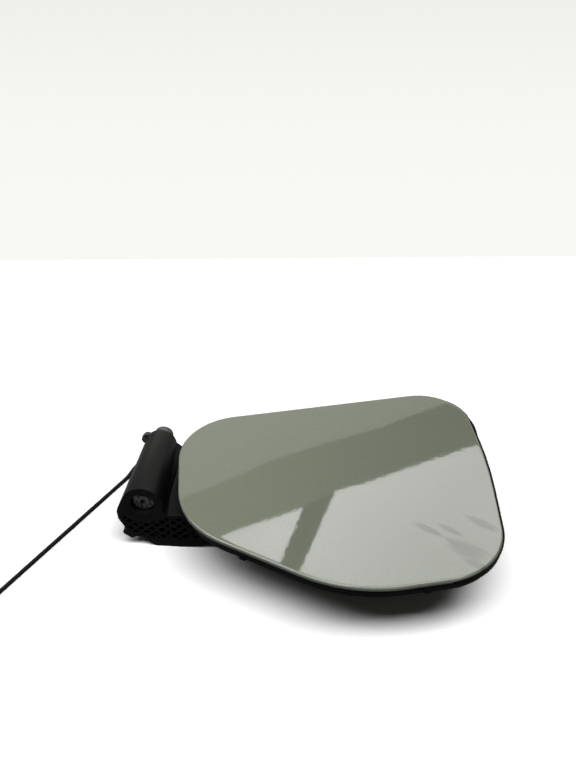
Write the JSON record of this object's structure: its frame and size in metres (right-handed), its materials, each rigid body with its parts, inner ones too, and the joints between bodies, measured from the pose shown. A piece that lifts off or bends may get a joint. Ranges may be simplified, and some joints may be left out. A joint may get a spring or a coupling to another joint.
{
  "type": "fuel filler flap with hinge arm and cap tether",
  "caption": "Painted car fuel filler flap on a black carrier, with a goose-neck hinge arm, a sprung pin, a lock hook, a cap holder and a cap tether.",
  "frame": {"origin": "near end of the hinge pin, on its axis, at the mouth of the pin's end socket", "axes": "+Y along the hinge pin to its head, +X from the hinge to the flap's free end, +Z towards the painted face"},
  "size_m": [0.2985, 0.2195, 0.0449],
  "materials": {
    "paint": "metallic sage grey under clear lacquer, smudged",
    "black_plastic": "moulded, fine grain",
    "arm_plastic": "glass-filled moulded, satin",
    "bush_plastic": "slick, satin",
    "spacer_plastic": "natural, matt",
    "foam": "closed-cell foam",
    "rubber": "matt",
    "zinc_steel": "zinc plated, dull",
    "pin_steel": "turned, oiled",
    "spring_steel": "drawn wire",
    "cord": "smooth, satin"
  },
  "bodies": {
    "flap": {"cover_skin": "paint", "inner_carrier": "black_plastic", "foam_pads": "foam", "backing_plate": "zinc_steel", "arm_screws": "zinc_steel", "hinge_arm": "arm_plastic", "near_bush": "bush_plastic", "far_bush": "bush_plastic", "torsion_spring": "spring_steel", "lock_striker": "black_plastic", "striker_pin": "zinc_steel", "striker_screws": "zinc_steel", "bump_stops": "rubber", "cap_holder": "black_plastic", "cap_holder_screw": "zinc_steel", "tether_anchor": "rubber", "tether_cord": "cord", "tether_ferrule": "black_plastic", "tether_ring": "rubber"},
    "pin": {"hinge_pin": "pin_steel", "spring_spacer": "spacer_plastic", "pin_clip": "spring_steel", "anchor_lever": "pin_steel"}
  },
  "joints": [
    {"name": "hinge_turn", "type": "hinge", "parent": "flap", "child": "pin", "pos_m": [0, 0, 0], "axis": [0, 1, 0], "range_deg": [0, 100], "stiffness_Nm_per_rad": 0.16, "deforming": ["torsion_spring"]}
  ]
}
